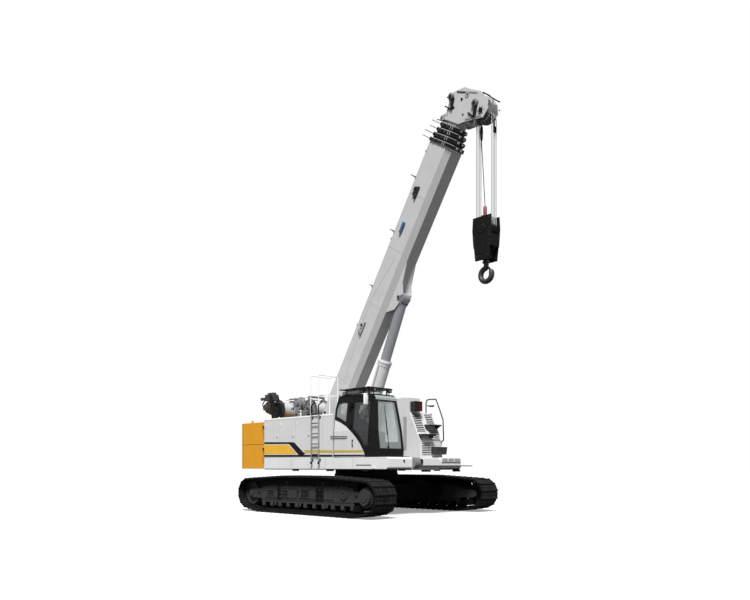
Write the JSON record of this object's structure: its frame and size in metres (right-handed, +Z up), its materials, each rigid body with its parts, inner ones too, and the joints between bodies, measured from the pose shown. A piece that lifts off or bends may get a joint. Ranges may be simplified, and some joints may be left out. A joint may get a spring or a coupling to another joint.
{
  "type": "telescopic-boom crawler crane",
  "caption": "Crawler crane with a raised telescopic boom, lift cylinder, slewing house with cab and counterweight, winches, hook block and two tracks.",
  "frame": {"origin": "on the ground under the slew axis", "axes": "+X to the machine's front, +Y to its left side, +Z up"},
  "size_m": [8.9802, 5.01, 10.8695],
  "materials": {
    "undercarriage_paint": "satin",
    "track_steel": "rough",
    "body_paint": "gloss",
    "frame_paint": "gloss",
    "counterweight_paint": "gloss",
    "cab_paint": "satin",
    "glazing": "gloss",
    "seat_cloth": "matte",
    "console_plastic": "matte",
    "black_steel": "satin",
    "dark_casting": "rough",
    "rod_chrome": "polished",
    "rope_wire": "satin",
    "lamp_housing": "satin",
    "pin_steel": "satin",
    "sheave_iron": "rough"
  },
  "bodies": {
    "undercarriage": {"carbody": "undercarriage_paint", "slew_ring_lower": "dark_casting", "side_frame_right": "undercarriage_paint", "rollers_right": "dark_casting", "idler_right": "dark_casting", "sprocket_right": "dark_casting", "track_right": "track_steel", "side_frame_left": "undercarriage_paint", "rollers_left": "dark_casting", "idler_left": "dark_casting", "sprocket_left": "dark_casting", "track_left": "track_steel"},
    "upper": {"slew_ring_upper": "dark_casting", "revolving_frame": "undercarriage_paint", "foot_pin": "pin_steel", "deck_right": "frame_paint", "deck_left": "frame_paint", "deck_nose": "cab_paint", "counterweight_lower": "counterweight_paint", "counterweight_upper": "counterweight_paint", "house_right": "body_paint", "house_left": "body_paint", "engine_block": "dark_casting", "cab_shell": "cab_paint", "cab_side_panel": "body_paint", "cab_glass": "glazing", "cab_seat": "seat_cloth", "cab_console": "console_plastic", "roof_guard": "black_steel", "ladder": "black_steel", "roof_rails": "frame_paint", "front_rail": "black_steel", "stair_steps": "black_steel", "winch_frame": "body_paint", "work_light": "lamp_housing"},
    "door": {"cab_door": "cab_paint", "door_glass": "glazing"},
    "main_drum": {"main_winch": "dark_casting"},
    "aux_drum": {"aux_winch": "dark_casting"},
    "boom": {"boom_base": "body_paint", "cylinder_head_pin": "pin_steel"},
    "section_2": {"boom_section_2": "body_paint"},
    "section_3": {"boom_section_3": "body_paint"},
    "section_4": {"boom_section_4": "body_paint"},
    "section_5": {"boom_section_5": "body_paint", "boom_head": "body_paint", "head_sheaves": "sheave_iron"},
    "rod": {"lift_rod": "rod_chrome"},
    "barrel": {"lift_barrel": "body_paint"},
    "falls": {"rope_falls": "rope_wire"},
    "block": {"hook_block": "black_steel", "block_sheaves": "sheave_iron"},
    "hook": {"hook": "dark_casting"}
  },
  "joints": [
    {"name": "slew", "type": "hinge", "parent": "undercarriage", "child": "upper", "pos_m": [0, 0, 1.1], "axis": [0, 0, 1], "continuous": true},
    {"name": "door_hinge", "type": "hinge", "parent": "upper", "child": "door", "pos_m": [0.927, -1.515, 2.65], "axis": [0, 0, -1], "range_deg": [0, 95]},
    {"name": "main_winch_turn", "type": "hinge", "parent": "upper", "child": "main_drum", "pos_m": [-3.85, 0, 3.15], "axis": [0, 1, 0], "continuous": true},
    {"name": "aux_winch_turn", "type": "hinge", "parent": "upper", "child": "aux_drum", "pos_m": [-2.25, 0, 3.08], "axis": [0, 1, 0], "continuous": true},
    {"name": "luff", "type": "hinge", "parent": "upper", "child": "boom", "pos_m": [-1.47, 0, 2.45], "axis": [0, -1, 0], "range_deg": [-58, 22]},
    {"name": "extend_2", "type": "slide", "parent": "boom", "child": "section_2", "axis": [0.5299, 0, 0.848], "range_m": [0, 6.05]},
    {"name": "extend_3", "type": "slide", "parent": "section_2", "child": "section_3", "axis": [0.5299, 0, 0.848], "range_m": [0, 6.05]},
    {"name": "extend_4", "type": "slide", "parent": "section_3", "child": "section_4", "axis": [0.5299, 0, 0.848], "range_m": [0, 6.05]},
    {"name": "extend_5", "type": "slide", "parent": "section_4", "child": "section_5", "axis": [0.5299, 0, 0.848], "range_m": [0, 6.05]},
    {"name": "rod_eye", "type": "hinge", "parent": "boom", "child": "rod", "pos_m": [1.47169, 0, 5.9594], "axis": [0, -1, 0], "range_deg": [-3.85, 1.46]},
    {"name": "lift_stroke", "type": "slide", "parent": "rod", "child": "barrel", "axis": [-0.3905, 0, -0.9206], "range_m": [-1.34494, 0.51021]},
    {"name": "falls_swing", "type": "hinge", "parent": "section_5", "child": "falls", "pos_m": [4.27023, 0, 10.08888], "axis": [0, -1, 0], "range_deg": [-22, 58]},
    {"name": "hoist", "type": "slide", "parent": "falls", "child": "block", "axis": [0, 0, -1], "range_m": [-1.8, 5.6], "deforming": ["rope_falls"]},
    {"name": "hook_swivel", "type": "hinge", "parent": "block", "child": "hook", "pos_m": [4.27023, 0, 6.3], "axis": [0, 0, 1], "continuous": true}
  ],
  "couplings": [
    {"joint": "extend_3", "follows": "extend_2", "ratio": 1},
    {"joint": "extend_4", "follows": "extend_2", "ratio": 1},
    {"joint": "extend_5", "follows": "extend_2", "ratio": 1},
    {"joint": "rod_eye", "follows": "luff", "ratio": 0.06635},
    {"joint": "lift_stroke", "follows": "luff", "m_per_rad": 1.3285},
    {"joint": "falls_swing", "follows": "luff", "ratio": -1}
  ]
}
